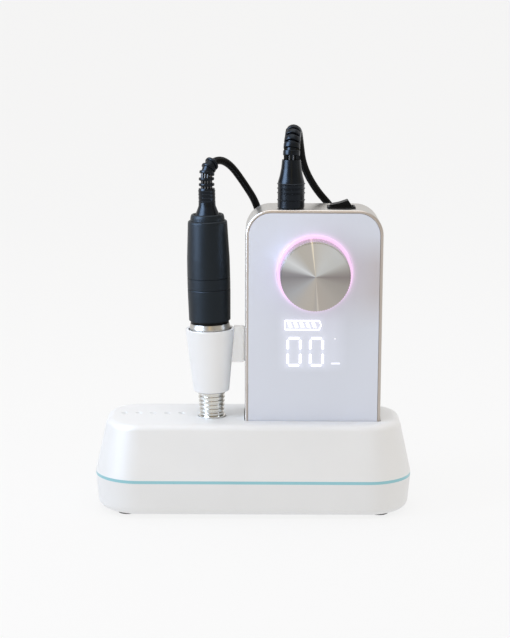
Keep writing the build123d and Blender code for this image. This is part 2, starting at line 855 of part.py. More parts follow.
# ---------------------------------------------------------------- strain reliefs
relief_core = 2.5
relief_base_height = 128.7
relief_rings = 5
handpiece_cord_exit = (-22.2, 0.2, 193.7)
plug_cord_exit = (21.4, 2.0, 210.6)
relief_start = along_handpiece(relief_base_height)
with BuildLine() as handpiece_relief_path:
    relief_stem = Line(relief_start, along_handpiece(relief_base_height + 5.4))
    TangentArc(relief_stem @ 1, handpiece_cord_exit, tangent=relief_stem % 1)

with BuildPart() as handpiece_strain_relief:
    with BuildSketch(handpiece_profile):
        with BuildLine():
            Polyline(
                (0, 109.2),
                (8.3, 109.2),
                (8.3, 111.0),
                (7.0, 111.4),
                (6.65, 114.2),
                (4.75, 118.9),
                (4.7, 119.6),
                (4.4, relief_base_height),
                (0, relief_base_height),
                close=True,
            )
        make_face()
    revolve(axis=handpiece_axis)
    with BuildSketch(Plane(handpiece_relief_path.line ^ 0)):
        Circle(relief_core)
    sweep(path=handpiece_relief_path.line)
    for ring in range(relief_rings):
        with BuildSketch(Plane(handpiece_relief_path.line ^ (0.12 + 0.19 * ring))):
            Circle(4.3 - 0.05 * ring)
        extrude(amount=0.8, both=True)
handpiece_strain_relief.part.label = "handpiece_strain_relief"

plug_top_z = 196.0
with BuildLine() as plug_relief_path:
    plug_stem = Line((plug_x, plug_y, plug_top_z), (plug_x, plug_y, plug_top_z + 1.5))
    TangentArc(plug_stem @ 1, plug_cord_exit, tangent=plug_stem % 1)

plug_rib_heights = [174.1, 177.9, 180.4, 182.9]
plug_outline = [(0, unit_top_z + 0.1), (6.9, unit_top_z + 0.1), (plug_radius, unit_top_z + 0.6)]
for rib_height in plug_rib_heights:
    plug_outline += [
        (plug_radius - 0.05, rib_height - 0.45),
        (plug_radius + 0.3, rib_height - 0.15),
        (plug_radius + 0.3, rib_height + 0.15),
        (plug_radius - 0.1, rib_height + 0.45),
    ]
plug_outline += [
    (7.15, 184.2),
    (6.35, 187.0),
    (5.5, 191.3),
    (5.05, plug_top_z),
    (0, plug_top_z),
]
with BuildPart() as plug_body:
    with BuildSketch(socket_profile):
        with BuildLine():
            Polyline(*plug_outline, close=True)
        make_face()
    revolve(axis=plug_axis)
plug_body.part.label = "plug_body"

with BuildPart() as plug_contact:
    with BuildSketch(Plane.XY.offset(unit_top_z + 0.1)):
        with Locations((plug_x, plug_y)):
            Circle(contact_radius)
    extrude(amount=-socket_bore_depth + 1.0)
plug_contact.part.label = "plug_contact"

with BuildPart() as plug_strain_relief:
    with BuildSketch(Plane(plug_relief_path.line ^ 0)):
        Circle(relief_core)
    sweep(path=plug_relief_path.line)
    for ring in range(relief_rings):
        with BuildSketch(Plane(plug_relief_path.line ^ (0.179 + 0.185 * ring))):
            Circle(4.6 - 0.13 * ring)
        extrude(amount=1.15, both=True)
plug_strain_relief.part.label = "plug_strain_relief"

# ================================================================ cord
# From the handpiece the cord arches over, falls behind the unit and runs into a tied coil on
# the table. From the coil it climbs again and arches over into the plug.
handpiece_cord_route = [
    handpiece_cord_exit,
    (-19.5, 2.9, 195.1),
    (-13.4, 8.8, 191.5),
    (-6.8, 13.9, 182.1),
    (2.4, 22.3, 166.8),
    (5.2, 25.6, 145.0),
    (4.4, 27.4, 114.0),
    (1.6, 30.0, 80.0),
    (-2.8, 36.0, 49.0),
    (-6.2, 41.0, 25.5),
    (-7.6, 48.5, 9.4),
    (-8.0, 58.0, 3.4),
    (-8.0, 67.0, coil_low_z),
]
plug_cord_route = [
    (48.0, 67.0, coil_low_z + cord_diameter),
    (48.0, 58.0, 7.4),
    (48.0, 48.4, 13.0),
    (48.4, 41.2, 28.0),
    (49.6, 36.4, 52.0),
    (52.4, 30.4, 84.0),
    (54.0, 27.6, 116.0),
    (53.0, 26.4, 145.0),
    (52.2, 26.1, 153.2),
    (43.5, 25.6, 166.1),
    (34.2, 23.6, 176.5),
    (27.0, 21.6, 189.8),
    (25.1, 19.1, 203.5),
    (23.9, 8.4, 212.2),
    plug_cord_exit,
]


def route_radii(points):
    """The radius of the arc at each corner of a cord's route, as large as its runs allow."""
    corners = [Vector(*point) for point in points]
    radii = []
    for before, corner, after in zip(corners, corners[1:], corners[2:]):
        half_turn = radians((corner - before).get_angle(after - corner)) / 2
        shorter = min((corner - before).length, (after - corner).length)
        radii.append(0.45 * shorter / tan(half_turn))
    return radii


handpiece_cord_radii = route_radii(handpiece_cord_route)
plug_cord_radii = route_radii(plug_cord_route)
with BuildLine() as handpiece_cord_path:
    FilletPolyline(*handpiece_cord_route, radius=handpiece_cord_radii)
with BuildLine() as plug_cord_path:
    FilletPolyline(*plug_cord_route, radius=plug_cord_radii)

with BuildPart() as handpiece_cord:
    with BuildSketch(Plane(handpiece_cord_path.line ^ 0)):
        Circle(cord_radius)
    sweep(path=handpiece_cord_path.line)
handpiece_cord.part.label = "handpiece_cord"

with BuildPart() as plug_cord:
    with BuildSketch(Plane(plug_cord_path.line ^ 0)):
        Circle(cord_radius)
    sweep(path=plug_cord_path.line)
plug_cord.part.label = "plug_cord"

coil_width = coil_outer_turn - coil_inner_turn + cord_diameter
coil_height = coil_layers * cord_diameter
coil_profile = Plane((coil_x, coil_y, 0), (1, 0, 0), (0, -1, 0))
with BuildPart() as cord_coil:
    with BuildSketch(coil_profile):
        with Locations((coil_radius, tie_thickness + coil_height / 2)):
            RectangleRounded(coil_width, coil_height, cord_radius - 0.1)
    revolve(axis=Axis((coil_x, coil_y, 0), (0, 0, 1)))
cord_coil.part.label = "cord_coil"

tie_width = 7.0
with BuildPart() as cord_tie:
    with BuildSketch(Plane((coil_x, coil_y + coil_radius, 0), (0, 1, 0), (1, 0, 0))):
        with Locations((0, tie_thickness + coil_height / 2)):
            RectangleRounded(coil_width + 2.2, coil_height + 2 * tie_thickness, cord_radius)
            RectangleRounded(coil_width + 0.9, coil_height, cord_radius - 0.6, mode=Mode.SUBTRACT)
    extrude(amount=tie_width / 2, both=True)
cord_tie.part.label = "cord_tie"

# ================================================================ output
pieces = [
    stand_upper_shell,
    *bit_sleeves,
    stand_trim_ring,
    stand_base_tray,
    stand_ballast_plate,
    stand_feet,
    stand_screws,
    unit_slot_liner,
    unit_frame,
    front_panel,
    rear_cover,
    cover_posts,
    rear_cover_screws,
    circuit_board,
    battery_cells,
    battery_cradle,
    display_module,
    speed_encoder,
    knob_light_guide,
    encoder_shaft,
    knob_cap,
    knob_core,
    switch_housing,
    rocker_button,
    rocker_pin,
    handpiece_socket,
    charging_jack,
    holder_cup,
    holder_bracket,
    holder_adhesive_pad,
    nose_cone,
    front_collar,
    neck_ring,
    chuck_tube,
    twist_lock_sleeve,
    housing_band,
    motor_housing,
    rear_cap,
    motor_can,
    motor_magnets,
    spindle_bearings,
    spindle,
    collet,
    rotor_core,
    commutator,
    push_ring,
    collet_spring,
    handpiece_strain_relief,
    plug_body,
    plug_contact,
    plug_strain_relief,
    handpiece_cord,
    plug_cord,
    cord_coil,
    cord_tie,
]
for piece in pieces:
    export_step(piece.part, f"parts/{piece.part.label}.step")

coil_length = 2 * pi * coil_radius * coil_turns
for name, radii, path, tube in (
    ("handpiece_cord", handpiece_cord_radii, handpiece_cord_path, handpiece_cord),
    ("plug_cord", plug_cord_radii, plug_cord_path, plug_cord),
):
    length = path.wire().length
    print(name, "radii", [round(radius, 1) for radius in radii])
    print(name, "length", round(length, 1), "volume", round(tube.part.volume, 1))
    print(name, "section times length", round(pi * cord_radius**2 * length, 1))
free_length = handpiece_cord_path.wire().length + plug_cord_path.wire().length
print("cord length", round(free_length + coil_length, 1))
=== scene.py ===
# Electric nail drill: looks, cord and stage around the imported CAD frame. Metres, +Z up.
import math

import bmesh
import bpy
from mathutils import Matrix, Vector


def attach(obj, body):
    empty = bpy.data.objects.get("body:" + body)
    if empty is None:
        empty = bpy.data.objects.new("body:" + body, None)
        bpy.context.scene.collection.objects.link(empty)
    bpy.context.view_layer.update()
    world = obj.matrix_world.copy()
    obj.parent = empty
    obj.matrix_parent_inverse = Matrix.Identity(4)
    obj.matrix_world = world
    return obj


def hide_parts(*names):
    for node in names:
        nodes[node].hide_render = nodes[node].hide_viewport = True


MM = 0.001

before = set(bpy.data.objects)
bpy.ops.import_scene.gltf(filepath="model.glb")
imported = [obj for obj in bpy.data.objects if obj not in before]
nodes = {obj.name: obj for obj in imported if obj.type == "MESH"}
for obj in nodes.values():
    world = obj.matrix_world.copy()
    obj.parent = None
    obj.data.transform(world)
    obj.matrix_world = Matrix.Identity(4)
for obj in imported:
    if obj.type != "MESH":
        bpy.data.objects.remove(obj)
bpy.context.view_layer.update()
scene = bpy.context.scene
scene.view_settings.view_transform = "Standard"
scene.view_settings.look = "None"


# ------------------------------------------------------------------ helpers
def mm(x, y, z):
    """A place given in millimetres."""
    return Vector((x, y, z)) * MM


def put(name, data):
    """Puts a new object into the scene."""
    thing = bpy.data.objects.new(name, data)
    scene.collection.objects.link(thing)
    return thing


def square_to(direction, side):
    """The side direction, turned until it is square to the other direction."""
    return (side - direction * side.dot(direction)).normalized()


def circle(centre, side, other, radius, count):
    """Points round a centre, in the plane of two directions. The radius is in mm."""
    angles = [2 * math.pi * k / count for k in range(count)]
    return [centre + (side * math.cos(a) + other * math.sin(a)) * radius * MM for a in angles]


class Shape:
    """Collects closed solids into one mesh."""

    def __init__(self, name):
        self.name = name
        self.points = []
        self.faces = []

    def join(self, rings, closed=False):
        """Joins rings of equal length. Open runs get end caps."""
        base = len(self.points)
        count = len(rings[0])
        for ring in rings:
            self.points += ring
        total = len(rings)
        for i in range(total if closed else total - 1):
            a, b = base + i * count, base + (i + 1) % total * count
            for k in range(count):
                self.faces.append((a + k, a + (k + 1) % count, b + (k + 1) % count, b + k))
        if not closed:
            self.faces.append(tuple(base + k for k in reversed(range(count))))
            self.faces.append(tuple(base + (total - 1) * count + k for k in range(count)))

    def turned(self, origin, axis, outline, closed=False, segments=48):
        """Turns an outline of (radius, distance along the axis) pairs, in mm."""
        axis = axis.normalized()
        side = axis.orthogonal().normalized()
        other = axis.cross(side)
        rings = []
        for radius, along in outline:
            rings.append(circle(origin + axis * along * MM, side, other, radius, segments))
        self.join(rings, closed)

    def box(self, centre, axes, sizes):
        """A box with half sizes along three axes."""
        first, second, third = (axis * size for axis, size in zip(axes, sizes))
        corners = ((-1, -1), (1, -1), (1, 1), (-1, 1))
        self.join(
            [
                [centre + first * u + second * v + third * w for u, v in corners]
                for w in (-1, 1)
            ]
        )

    def plate(self, outline, y_front, y_back):
        """A flat plate from an outline of (x, z) in mm, facing the front."""
        self.join([[mm(px, y, pz) for px, pz in outline] for y in (y_front, y_back)])

    def mesh(self, sharp):
        """The mesh, with edges sharp above an angle in degrees, or flat faces for None."""
        data = bpy.data.meshes.new(self.name)
        data.from_pydata([tuple(p) for p in self.points], [], self.faces)
        data.validate()
        data.update()
        b = bmesh.new()
        b.from_mesh(data)
        bmesh.ops.recalc_face_normals(b, faces=b.faces)
        b.to_mesh(data)
        b.free()
        if sharp is not None:
            data.polygons.foreach_set("use_smooth", [True] * len(data.polygons))
            data.set_sharp_from_angle(angle=math.radians(sharp))
        return data

    def build(self, surface, body, sharp=35):
        """Makes the mesh a piece of the model."""
        piece = put(self.name, self.mesh(sharp))
        piece.data.materials.append(surface.material)
        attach(piece, body)
        return piece


# ------------------------------------------------------------------ camera
CAMERA_PLACE = (0.59, -916.5, 284.15)
CAMERA_TILT = math.radians(10.98)
CAMERA_ROLL = math.radians(0.259)

level_right = Vector((1, 0, 0))
level_up = Vector((0, math.sin(CAMERA_TILT), math.cos(CAMERA_TILT)))
look = Vector((0, math.cos(CAMERA_TILT), -math.sin(CAMERA_TILT)))
right = level_right * math.cos(CAMERA_ROLL) + level_up * math.sin(CAMERA_ROLL)
up = level_up * math.cos(CAMERA_ROLL) - level_right * math.sin(CAMERA_ROLL)
camera_data = bpy.data.cameras.new("camera")
camera_data.sensor_width = 36
camera_data.lens = 94.58
camera_data.clip_start = 0.05
camera_data.clip_end = 50
camera = put("camera", camera_data)
camera.matrix_world = Matrix.Translation(mm(*CAMERA_PLACE)) @ Matrix(
    (
        (right.x, up.x, -look.x),
        (right.y, up.y, -look.y),
        (right.z, up.z, -look.z),
    )
).to_4x4()
scene.camera = camera

# ------------------------------------------------------------------ cord
CORD_DIAMETER = 0.0043
CORD_SIDES = 32
GROOVE_WIDTH = 0.17
GROOVE_DEPTH = 0.16
# Points of the path that are closer together than this are one point.
LEAST_STEP = 0.0001

# Places of the route, in mm.
HANDPIECE_EXIT = (-22.2, 0.2, 193.7)
PLUG_EXIT = (21.4, 2.0, 210.6)
COIL_CENTRE = (20.0, 67.0)
COIL_LOW = 2.8
COIL_TURNS = 5.5
COIL_OUTER = 28.0
COIL_PITCH = 4.4
COIL_RISE = 4.3
TURN_POINTS = 24
# In turns: how long before half way the climb to the upper layer starts, and its length.
CLIMB_LEAD = 0.25
CLIMB_TURNS = 0.55

handpiece_run = [
    HANDPIECE_EXIT,
    (-19.5, 2.9, 195.1),
    (-13.4, 8.8, 191.5),
    (-6.8, 13.9, 182.1),
    (2.4, 22.3, 166.8),
    (5.2, 25.6, 145.0),
    (4.4, 27.4, 114.0),
    (1.6, 30.0, 80.0),
    (-2.8, 36.0, 49.0),
    (-6.2, 41.0, 25.5),
    (-7.6, 48.5, 9.4),
    (-8.0, 58.0, 3.4),
    (-8.0, 67.0, COIL_LOW),
]
plug_run = [
    (48.0, 67.0, COIL_LOW + COIL_RISE),
    (48.0, 58.0, 7.4),
    (48.0, 48.4, 13.0),
    (48.4, 41.2, 28.0),
    (49.6, 36.4, 52.0),
    (52.4, 30.4, 84.0),
    (54.0, 27.6, 116.0),
    (53.0, 26.4, 145.0),
    (52.2, 26.1, 153.2),
    (43.5, 25.6, 166.1),
    (34.2, 23.6, 176.5),
    (27.0, 21.6, 189.8),
    (25.1, 19.1, 203.5),
    (23.9, 8.4, 212.2),
    PLUG_EXIT,
]
# The lower layer winds inwards, climbs, and the upper layer winds out over it.
coil_run = []
half_turns = COIL_TURNS / 2
for k in range(1, round(COIL_TURNS * TURN_POINTS)):
    turn = k / TURN_POINTS
    angle = math.pi - 2 * math.pi * turn
    radius = COIL_OUTER - COIL_PITCH * (half_turns - abs(turn - half_turns))
    climb = min(max((turn - half_turns + CLIMB_LEAD) / CLIMB_TURNS, 0), 1)
    coil_run.append(
        (
            COIL_CENTRE[0] + radius * math.cos(angle),
            COIL_CENTRE[1] + radius * math.sin(angle),
            COIL_LOW + COIL_RISE * math.sin(math.pi / 2 * climb),
        )
    )
route_data = bpy.data.curves.new("lead_route", "CURVE")
route_data.dimensions = "3D"
route_data.resolution_u = 8
cord_line = route_data.splines.new("NURBS")
cord_points = handpiece_run + coil_run + plug_run
cord_line.points.add(len(cord_points) - 1)
for point, place in zip(cord_line.points, cord_points):
    point.co = (*mm(*place), 1)
cord_line.order_u = 3
cord_line.use_endpoint_u = True
route = put("lead_route", route_data)
line = bpy.data.meshes.new_from_object(route)
cord_path = []
for vertex in line.vertices:
    if not cord_path or (vertex.co - cord_path[-1]).length > LEAST_STEP:
        cord_path.append(vertex.co.copy())
bpy.data.objects.remove(route)

# A two-core jacket: round, with a shallow groove down each flat side.
side = (cord_path[1] - cord_path[0]).orthogonal().normalized()
cord_rings = []
for i, place in enumerate(cord_path):
    before = cord_path[max(i - 1, 0)]
    after = cord_path[min(i + 1, len(cord_path) - 1)]
    along = (after - before).normalized()
    side = square_to(along, side)
    other = along.cross(side)
    ring = []
    for k in range(CORD_SIDES):
        a = 2 * math.pi * k / CORD_SIDES
        groove = GROOVE_DEPTH * math.exp(-((math.cos(a) / GROOVE_WIDTH) ** 2))
        radius = CORD_DIAMETER / 2 * (1 - groove)
        ring.append(place + (side * math.cos(a) + other * math.sin(a)) * radius)
    cord_rings.append(ring)
cord_shape = Shape("handpiece_lead")
cord_shape.join(cord_rings)
cord = put("handpiece_lead", cord_shape.mesh(sharp=60))
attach(cord, "handpiece")
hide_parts("handpiece_cord", "plug_cord", "cord_coil")


# ------------------------------------------------------------------ materials
class Graph:
    """The node tree of a material or the world, with short ways to add nodes."""

    def __init__(self, owner, shader, coordinates):
        owner.use_nodes = True
        self.tree = owner.node_tree
        self.shader = self.tree.nodes[shader]
        self.place = self.add("ShaderNodeTexCoord").outputs[coordinates]

    def add(self, kind):
        return self.tree.nodes.new(kind)

    def fill(self, socket, value):
        """Links an output to the socket, or writes a plain number or colour into it."""
        if isinstance(value, bpy.types.NodeSocket):
            self.tree.links.new(value, socket)
        elif isinstance(value, tuple):
            socket.default_value = (*value, 1)
        else:
            socket.default_value = value

    def set(self, name, value):
        """Fills one of the shader's own inputs."""
        self.fill(self.shader.inputs[name], value)

    def math(self, operation, *values):
        node = self.add("ShaderNodeMath")
        node.operation = operation
        for socket, value in zip(node.inputs, values):
            self.fill(socket, value)
        return node.outputs[0]

    def plus(self, first, second):
        return self.math("ADD", first, second)

    def minus(self, first, second):
        return self.math("SUBTRACT", first, second)

    def times(self, first, second):
        return self.math("MULTIPLY", first, second)

    def fade(self, distance, reach):
        """1 at no distance, falling off exponentially."""
        return self.math("EXPONENT", self.times(distance, -1 / reach))

    def split(self):
        node = self.add("ShaderNodeSeparateXYZ")
        self.fill(node.inputs[0], self.place)
        return node.outputs

    def noise(self, size, detail=2.0, stretch=None):
        node = self.add("ShaderNodeTexNoise")
        node.inputs["Scale"].default_value = 1 / size
        node.inputs["Detail"].default_value = detail
        place = self.place
        if stretch:
            mapping = self.add("ShaderNodeMapping")
            mapping.inputs["Scale"].default_value = stretch
            self.fill(mapping.inputs["Vector"], place)
            place = mapping.outputs[0]
        self.fill(node.inputs["Vector"], place)
        return node.outputs["Fac"]

    def spread(self, source, low, high, from_low=0.3, from_high=0.7):
        """Maps a range of the source onto low to high, and holds it there outside the range."""
        node = self.add("ShaderNodeMapRange")
        node.inputs["From Min"].default_value = from_low
        node.inputs["From Max"].default_value = from_high
        node.inputs["To Min"].default_value = low
        node.inputs["To Max"].default_value = high
        self.fill(node.inputs["Value"], source)
        return node.outputs[0]

    def band(self, source, start, full, waning, end):
        """Rises from 0 at the start to 1 where it is full, and falls from waning to the end."""
        rising = self.spread(source, 0.0, 1.0, start, full)
        return self.times(rising, self.spread(source, 1.0, 0.0, waning, end))

    def mix(self, factor, first, second):
        node = self.add("ShaderNodeMix")
        node.data_type = "RGBA"
        for number, value in ((0, factor), (6, first), (7, second)):
            self.fill(node.inputs[number], value)
        return node.outputs[2]

    def ramp(self, factor, stops):
        node = self.add("ShaderNodeValToRGB")
        elements = node.color_ramp.elements
        while len(elements) < len(stops):
            elements.new(0.5)
        for element, (position, colour) in zip(elements, stops):
            element.position = position
            element.color = (*colour, 1)
        self.fill(node.inputs[0], factor)
        return node.outputs[0]

    def bump(self, height, strength, distance):
        node = self.add("ShaderNodeBump")
        node.inputs["Strength"].default_value = strength
        node.inputs["Distance"].default_value = distance
        self.fill(node.inputs["Height"], height)
        self.set("Normal", node.outputs[0])

    def tint(self, factor, colour):
        """Blends the base colour towards another one."""
        base = self.shader.inputs["Base Color"].links[0].from_socket
        self.set("Base Color", self.mix(factor, base, colour))


class Surface(Graph):
    """A new material, in object space."""

    def __init__(self, name):
        self.material = bpy.data.materials.new(name)
        super().__init__(self.material, "Principled BSDF", "Object")


COAT_ROUGHNESS = 0.12
# Size of the smears in the gloss, as a share of the mottle's size.
SMEAR_SHARE = 0.6


def tinted(colour, factor):
    """The colour made lighter or darker."""
    return tuple(min(c * factor, 1.0) for c in colour)


def finish(
    name,
    colour,
    roughness,
    metallic=0.0,
    mottle=0.05,
    mottle_size=0.03,
    smudge=0.06,
    grain=0.0004,
    depth=0.00001,
    strength=0.3,
    coat=0.0,
    specular=0.5,
    stretch=None,
    emission=None,
):
    """A surface with a faint mottle, smudges in its gloss and a fine grain, in object space."""
    g = Surface(name)
    g.set("Metallic", metallic)
    g.set("Specular IOR Level", specular)
    g.set("Coat Weight", coat)
    g.set("Coat Roughness", COAT_ROUGHNESS)
    tone = g.spread(g.noise(mottle_size, 3.0), 0.0, 1.0)
    g.set("Base Color", g.mix(tone, tinted(colour, 1 - mottle), tinted(colour, 1 + mottle)))
    smears = g.noise(mottle_size * SMEAR_SHARE, 4.0)
    g.set("Roughness", g.spread(smears, roughness - smudge, roughness + smudge))
    g.bump(g.noise(grain, 2.0, stretch), strength, depth)
    if emission:
        g.set("Emission Color", emission[0])
        g.set("Emission Strength", emission[1])
    return g


def dress(surface, *names):
    """Gives these CAD nodes the surface."""
    for name in names:
        materials = nodes[name].data.materials
        materials.clear()
        materials.append(surface.material)


# Stand, and plated parts everywhere.
dress(
    finish("stand_white", (0.76, 0.767, 0.778), 0.45, mottle=0.012, grain=0.00025, depth=0.000012),
    "stand_upper_shell",
    "stand_base_tray",
    *[f"bit_sleeve_{i}" for i in range(1, 6)],
)
dress(
    finish("trim_teal", (0.27, 0.55, 0.62), 0.32, mottle=0.03, coat=0.2),
    "stand_trim_ring",
)
dress(
    finish("plated_steel", (0.55, 0.55, 0.56), 0.35, 1.0, grain=0.0002),
    "stand_ballast_plate",
    "stand_screws",
    "rear_cover_screws",
    "speed_encoder",
    "encoder_shaft",
    "rocker_pin",
    "collet_spring",
)
dress(
    finish("foot_rubber", (0.012, 0.012, 0.012), 0.75, grain=0.0005, depth=0.00005),
    "stand_feet",
)
dress(finish("liner_black", (0.02, 0.02, 0.02), 0.6), "unit_slot_liner")

# Control unit and holder.
dress(
    finish("cover_white", (0.74, 0.74, 0.745), 0.4, mottle=0.015, grain=0.0003, depth=0.00002),
    "rear_cover",
)
dress(
    finish("inner_plastic", (0.05, 0.05, 0.055), 0.5),
    "cover_posts",
    "battery_cradle",
    "knob_core",
)
dress(
    finish("board_green", (0.03, 0.16, 0.07), 0.4, coat=0.3, mottle=0.2, mottle_size=0.004),
    "circuit_board",
)
dress(finish("cell_wrap", (0.04, 0.13, 0.42), 0.3, coat=0.4), "battery_cells")
dress(finish("display_white", (0.85, 0.85, 0.9), 0.4), "display_module")
dress(
    finish("light_pink", (0.35, 0.25, 0.35), 0.35, emission=((0.96, 0.64, 0.94), 0.80)),
    "knob_light_guide",
)
dress(
    finish("switch_black", (0.003, 0.003, 0.003), 0.38, specular=0.08, mottle=0.3),
    "switch_housing",
    "charging_jack",
    "rocker_button",
)
dress(
    finish("socket_metal", (0.7, 0.69, 0.68), 0.25, 1.0),
    "handpiece_socket",
    "plug_contact",
)
dress(
    finish("holder_white", (0.80, 0.81, 0.83), 0.34, mottle=0.008, smudge=0.02, coat=0.1),
    "holder_cup",
)
dress(
    finish("pad_foam", (0.75, 0.75, 0.75), 0.8, grain=0.0006, depth=0.0001),
    "holder_adhesive_pad",
)
# The bracket is a frosted plate: cloudy and a little see-through.
bracket = finish("bracket_frost", (0.82, 0.81, 0.80), 0.55, mottle=0.03, grain=0.0005)
bracket.set("Alpha", 0.32)
dress(bracket, "holder_bracket")

# Handpiece. The sleeve, like the rubber of the reliefs, reflects a little blue.
COOL_SHEEN = (0.70, 0.84, 1.0)
dress(finish("neck_black", (0.003, 0.003, 0.003), 0.4, specular=0.1), "neck_ring")
sleeve = finish(
    "handpiece_black",
    (0.004, 0.005, 0.006),
    0.42,
    mottle=0.1,
    grain=0.00022,
    depth=0.00002,
    specular=0.30,
)
sleeve.set("Specular Tint", COOL_SHEEN)
dress(sleeve, "twist_lock_sleeve", "housing_band", "motor_housing", "rear_cap")
# Chrome of the nose and turned steel of the collar, with tool marks round the axis.
dress(
    finish(
        "nose_chrome",
        (0.67, 0.655, 0.62),
        0.12,
        1.0,
        mottle=0.03,
        smudge=0.03,
        stretch=(1, 1, 14),
    ),
    "nose_cone",
)
dress(
    finish(
        "collar_steel",
        (0.50, 0.475, 0.44),
        0.27,
        1.0,
        mottle=0.04,
        stretch=(1, 1, 20),
        grain=0.0012,
    ),
    "front_collar",
    "collet",
)
dress(
    finish("motor_steel", (0.5, 0.5, 0.5), 0.35, 1.0, stretch=(1, 1, 12)),
    "chuck_tube",
    "motor_can",
    "spindle_bearings",
    "push_ring",
    "spindle",
    "rotor_core",
)
dress(finish("magnet_grey", (0.1, 0.1, 0.11), 0.6, 0.6), "motor_magnets")
dress(finish("copper", (0.72, 0.42, 0.24), 0.35, 1.0), "commutator")

# Rubber of the cord and its reliefs.
BLACK_RUBBER = (0.002, 0.002, 0.003)
relief_rubber = finish(
    "relief_rubber", BLACK_RUBBER, 0.28, grain=0.0003, mottle=0.2, specular=0.25
)
relief_rubber.set("Specular Tint", COOL_SHEEN)
dress(relief_rubber, "plug_body")
relief_gloss = finish(
    "relief_gloss", BLACK_RUBBER, 0.14, grain=0.0003, mottle=0.2, specular=0.9
)
cord_black = finish(
    "cord_black", (0.002, 0.002, 0.002), 0.36, grain=0.0004, depth=0.00002, specular=0.1
)
cord.data.materials.append(cord_black.material)
dress(
    finish("tie_black", (0.015, 0.015, 0.015), 0.85, grain=0.0005, depth=0.0002, strength=0.8),
    "cord_tie",
)

# Anodised aluminium: bead blasted, with a warmer tone on the polished front edge.
champagne = finish(
    "frame_champagne", (0.50, 0.475, 0.44), 0.36, 1.0, mottle=0.03, grain=0.00018, depth=0.00002
)
front_edge = champagne.spread(champagne.split()[1], 1.0, 0.0, -0.0159, -0.0148)
champagne.tint(front_edge, (0.50, 0.45, 0.41))
dress(champagne, "unit_frame")

KNOB_X = 0.033
KNOB_Z = 0.13525


def from_knob(g, x, z):
    """How far a place is to the right of the knob's axis, above it, and away from it."""
    across = g.minus(x, KNOB_X)
    rise = g.minus(z, KNOB_Z)
    squares = g.plus(g.times(across, across), g.times(rise, rise))
    return across, rise, g.math("SQRT", squares)


# Spun steel knob with painted reflections: light and dark streaks and two bright glints are
# painted into the face's base colour and turn with it, round fine concentric grooves. The ramp
# goes once round the face, from its left side through the bottom, right and top.
KNOB_GROOVES = 0.00022
g = Surface("knob_steel")
g.set("Metallic", 1.0)
g.set("Anisotropic", 0.5)
x, _, z = g.split()
across, rise, from_centre = from_knob(g, x, z)
painted_reflections = g.ramp(
    g.plus(g.math("DIVIDE", g.math("ARCTAN2", rise, across), 2 * math.pi), 0.5),
    [
        (0.0, (0.26, 0.26, 0.285)),
        (0.03, (0.31, 0.31, 0.335)),
        (0.10, (0.40, 0.405, 0.42)),
        (0.17, (0.45, 0.42, 0.385)),
        (0.235, (0.47, 0.43, 0.38)),
        (0.255, (0.42, 0.39, 0.365)),
        (0.262, (0.60, 0.56, 0.50)),
        (0.27, (0.45, 0.41, 0.37)),
        (0.35, (0.44, 0.415, 0.39)),
        (0.45, (0.37, 0.355, 0.345)),
        (0.50, (0.27, 0.25, 0.255)),
        (0.53, (0.34, 0.33, 0.33)),
        (0.58, (0.52, 0.53, 0.53)),
        (0.65, (0.54, 0.54, 0.525)),
        (0.74, (0.54, 0.52, 0.48)),
        (0.762, (0.52, 0.49, 0.45)),
        (0.768, (0.95, 0.86, 0.68)),
        (0.775, (0.50, 0.47, 0.43)),
        (0.84, (0.50, 0.48, 0.44)),
        (0.88, (0.56, 0.565, 0.57)),
        (0.915, (0.70, 0.73, 0.77)),
        (0.945, (0.55, 0.58, 0.62)),
        (0.975, (0.31, 0.31, 0.34)),
        (1.0, (0.26, 0.26, 0.285)),
    ],
)
# The base colour carries the painted reflections and glints.
g.set("Base Color", painted_reflections)
grooves = g.math("SINE", g.times(from_centre, 2 * math.pi / KNOB_GROOVES))
g.bump(g.plus(g.times(grooves, 0.5), g.noise(0.0004)), 0.12, 0.00001)
g.set("Roughness", g.spread(g.noise(0.006, 3.0), 0.30, 0.38))
tangent = g.add("ShaderNodeTangent")
tangent.direction_type = "RADIAL"
tangent.axis = "Y"
g.set("Tangent", tangent.outputs[0])
dress(g, "knob_cap")

# Front panel: glossy acrylic, lit from behind round the knob and at the display. Each glow has
# a strength and, where it fades with distance, a reach in metres.
KNOB_EDGE = 0.0212
NEAR_GLOW, NEAR_REACH = 0.26, 0.0009
FAR_GLOW, FAR_REACH = 0.06, 0.007
WINDOW_GLOW = 0.08
BLOOM_GLOW, BLOOM_REACH = 0.16, 0.0011
# Middle x and z, half width and half height of the lit digits and charge bar, and whether the
# light comes from the outline only.
LIT_AREAS = (
    (0.02205, 0.0912, 0.00345, 0.0076, True),
    (0.0344, 0.0912, 0.0034, 0.0076, True),
    (0.0265, 0.1061, 0.0095, 0.0025, False),
)
g = finish(
    "panel_gloss",
    (0.66, 0.695, 0.79),
    0.14,
    mottle=0.008,
    smudge=0.03,
    depth=0.000002,
    coat=0.3,
)
x, _, z = g.split()
from_centre = from_knob(g, x, z)[2]
outside = g.math("MAXIMUM", g.minus(from_centre, KNOB_EDGE), 0.0)
halo = g.plus(
    g.times(g.fade(outside, NEAR_REACH), NEAR_GLOW),
    g.times(g.fade(outside, FAR_REACH), FAR_GLOW),
)
window = g.times(
    g.band(x, 0.0125, 0.0185, 0.044, 0.0515),
    g.band(z, 0.0795, 0.085, 0.108, 0.1165),
)
bloom = 0.0
for mid_x, mid_z, half_x, half_z, hollow in LIT_AREAS:
    off_x = g.minus(g.math("ABSOLUTE", g.minus(x, mid_x)), half_x)
    off_z = g.minus(g.math("ABSOLUTE", g.minus(z, mid_z)), half_z)
    off = g.math("MAXIMUM", off_x, off_z)
    off = g.math("ABSOLUTE", off) if hollow else g.math("MAXIMUM", off, 0.0)
    bloom = g.plus(g.fade(off, BLOOM_REACH), bloom)
light = g.plus(g.plus(halo, g.times(window, WINDOW_GLOW)), g.times(bloom, BLOOM_GLOW))
